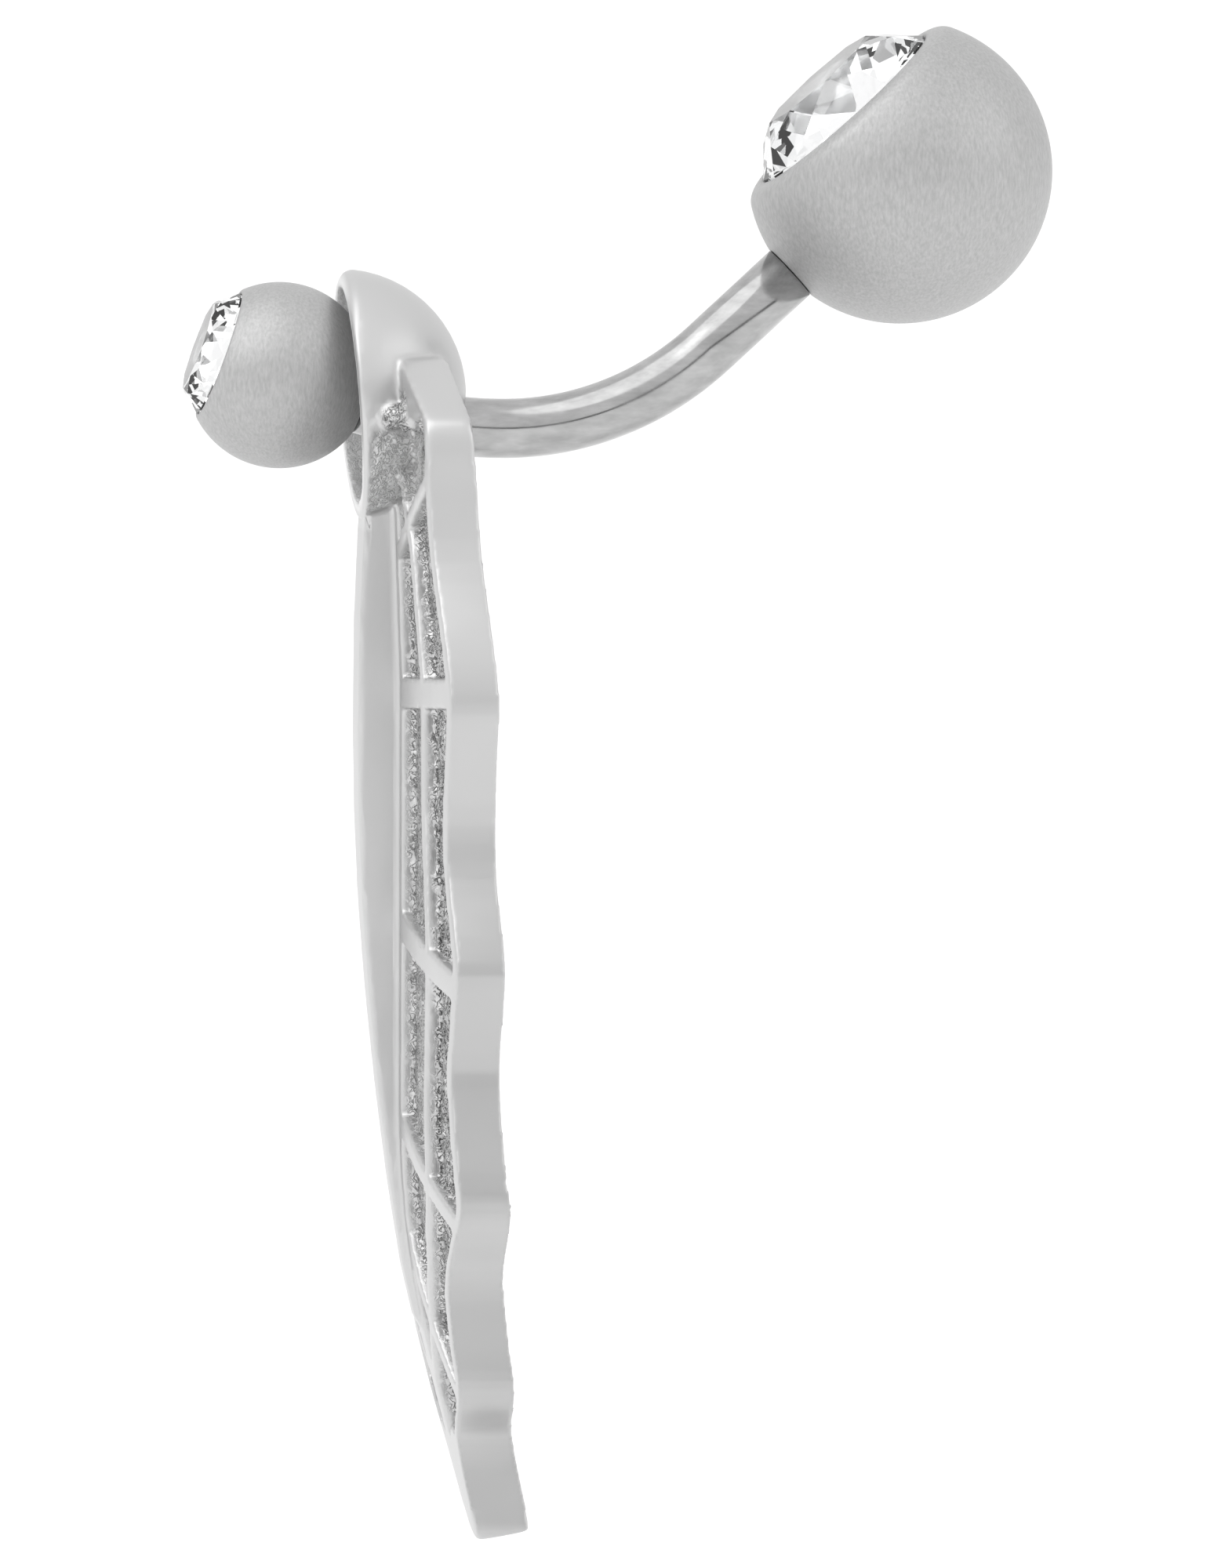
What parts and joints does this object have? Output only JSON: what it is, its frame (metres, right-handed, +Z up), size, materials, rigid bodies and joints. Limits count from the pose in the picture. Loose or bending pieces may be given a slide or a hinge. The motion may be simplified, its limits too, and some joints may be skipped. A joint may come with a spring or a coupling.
{
  "type": "belly button ring",
  "caption": "Curved steel bar between two stone-set balls, with a cast leaf on a cup that hangs from the bar and swings.",
  "frame": {"origin": "middle of the curved bar, where it sits in the piercing", "axes": "+Z up, along the hanging leaf; -Y the way the leaf and the small ball face; X across the leaf"},
  "size_m": [0.0172, 0.0235, 0.0408],
  "materials": {
    "polished_steel": "polished along its length",
    "satin_steel": "satin, finely brushed",
    "clear_stone": "clear, cut and foil backed",
    "cast_silver": "soft polished casting with hammered sunk panels"
  },
  "bodies": {
    "bar_set": {"bar": "polished_steel", "large_ball": "satin_steel", "large_stone": "clear_stone", "small_ball": "satin_steel", "small_stone": "clear_stone"},
    "charm": {"leaf_charm": "cast_silver"}
  },
  "joints": [
    {"name": "charm_swing", "type": "hinge", "parent": "bar_set", "child": "charm", "pos_m": [0, -0.00345, -0.00019], "axis": [0, -0.9928, 0.1195], "continuous": true}
  ]
}
